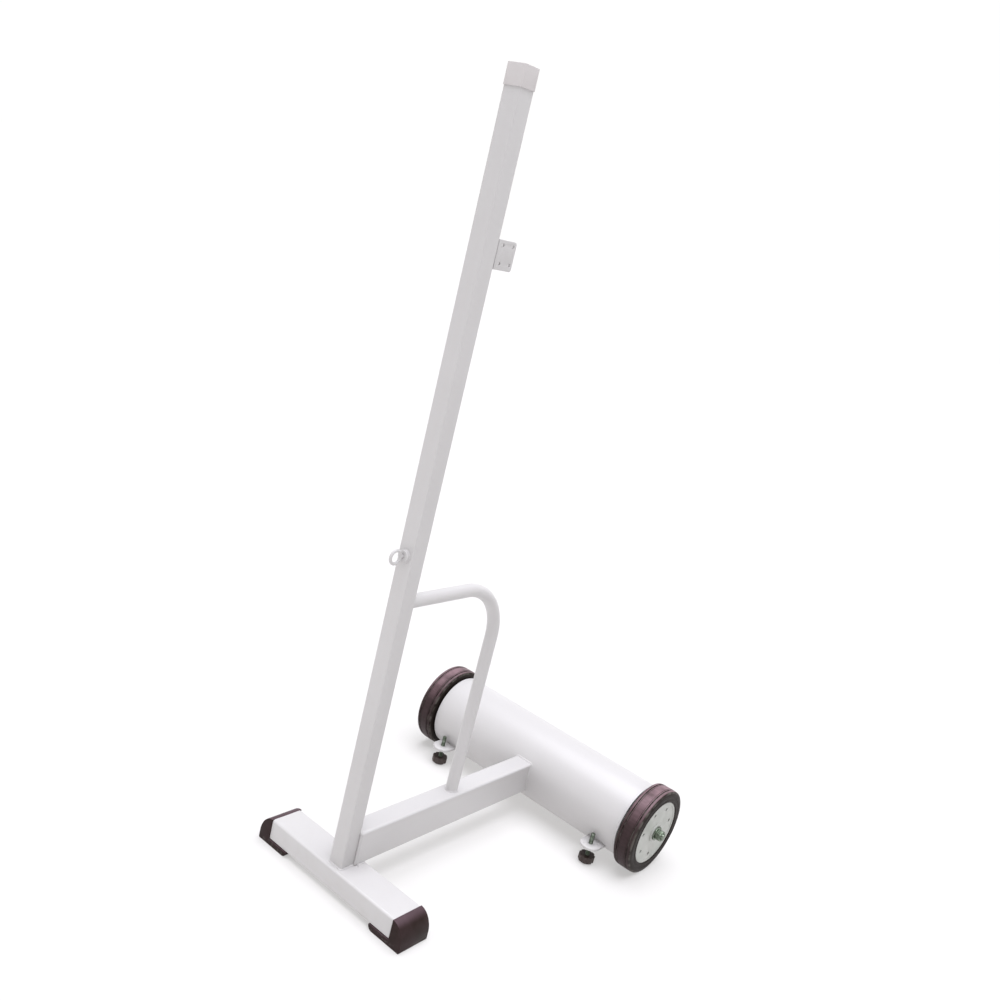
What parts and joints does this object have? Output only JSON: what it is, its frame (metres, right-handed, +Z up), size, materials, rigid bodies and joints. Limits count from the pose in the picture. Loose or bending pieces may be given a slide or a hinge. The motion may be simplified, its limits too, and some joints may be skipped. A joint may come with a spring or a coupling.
{
  "type": "free-standing net post",
  "caption": "Square net post on a weighted base with rubber feet, a round counterweight between rolling wheels, screw-down levelling feet, a brace handle, a net eye and a drilled plate.",
  "frame": {"origin": "on the floor, under the middle of the part's outline", "axes": "+Z up along the post; +Y from the post towards the counterweight; X along the wheel axis, with the part symmetric left to right apart from the drilled plate and the hub holes"},
  "size_m": [0.71, 0.825, 1.55],
  "materials": {
    "white_paint": "smooth gloss powder coat",
    "cap_plastic": "satin",
    "hub_plastic": "satin",
    "foot_rubber": "semi-gloss moulded",
    "tyre_rubber": "matte with worn sheen",
    "knob_plastic": "semi-matte",
    "nylon": "matte",
    "zinc_steel": "zinc plated",
    "ballast_iron": "as cast"
  },
  "bodies": {
    "frame": {"crossbar": "white_paint", "foot_left": "foot_rubber", "foot_right": "foot_rubber", "spine": "white_paint", "post": "white_paint", "post_cap": "cap_plastic", "brace_handle": "white_paint", "tensioner_plate": "white_paint", "eye_boss": "white_paint", "net_eye": "white_paint", "weight_tube": "white_paint", "end_plates": "white_paint", "ballast": "ballast_iron", "stub_axles": "zinc_steel", "axle_spacers": "zinc_steel", "axle_washers": "zinc_steel", "axle_nuts": "zinc_steel", "levelling_brackets": "white_paint"},
    "wheel_left": {"tyre_left": "tyre_rubber", "hub_left": "hub_plastic", "bushes_left": "nylon"},
    "wheel_right": {"tyre_right": "tyre_rubber", "hub_right": "hub_plastic", "bushes_right": "nylon"},
    "level_foot_left": {"glide_left": "nylon"},
    "level_foot_right": {"glide_right": "nylon"},
    "level_screw_left": {"screw_left": "zinc_steel", "knob_left": "knob_plastic"},
    "level_screw_right": {"screw_right": "zinc_steel", "knob_right": "knob_plastic"}
  },
  "joints": [
    {"name": "wheel_left_spin", "type": "hinge", "parent": "frame", "child": "wheel_left", "pos_m": [-0.3112, 0.3085, 0.104], "axis": [1, 0, 0], "continuous": true},
    {"name": "wheel_right_spin", "type": "hinge", "parent": "frame", "child": "wheel_right", "pos_m": [0.3112, 0.3085, 0.104], "axis": [1, 0, 0], "continuous": true},
    {"name": "level_foot_left_slide", "type": "slide", "parent": "frame", "child": "level_foot_left", "axis": [0, 0, 1], "range_m": [-0.0255, 0.0225]},
    {"name": "level_foot_right_slide", "type": "slide", "parent": "frame", "child": "level_foot_right", "axis": [0, 0, 1], "range_m": [-0.0255, 0.0225]},
    {"name": "level_screw_left_turn", "type": "hinge", "parent": "level_foot_left", "child": "level_screw_left", "pos_m": [-0.234, 0.2105, 0.04], "axis": [0, 0, 1], "range_deg": [-6120, 5400]},
    {"name": "level_screw_right_turn", "type": "hinge", "parent": "level_foot_right", "child": "level_screw_right", "pos_m": [0.234, 0.2105, 0.04], "axis": [0, 0, 1], "range_deg": [-6120, 5400]}
  ],
  "couplings": [
    {"joint": "level_foot_left_slide", "follows": "level_screw_left_turn", "m_per_rad": 0.00023873},
    {"joint": "level_foot_right_slide", "follows": "level_screw_right_turn", "m_per_rad": 0.00023873}
  ]
}
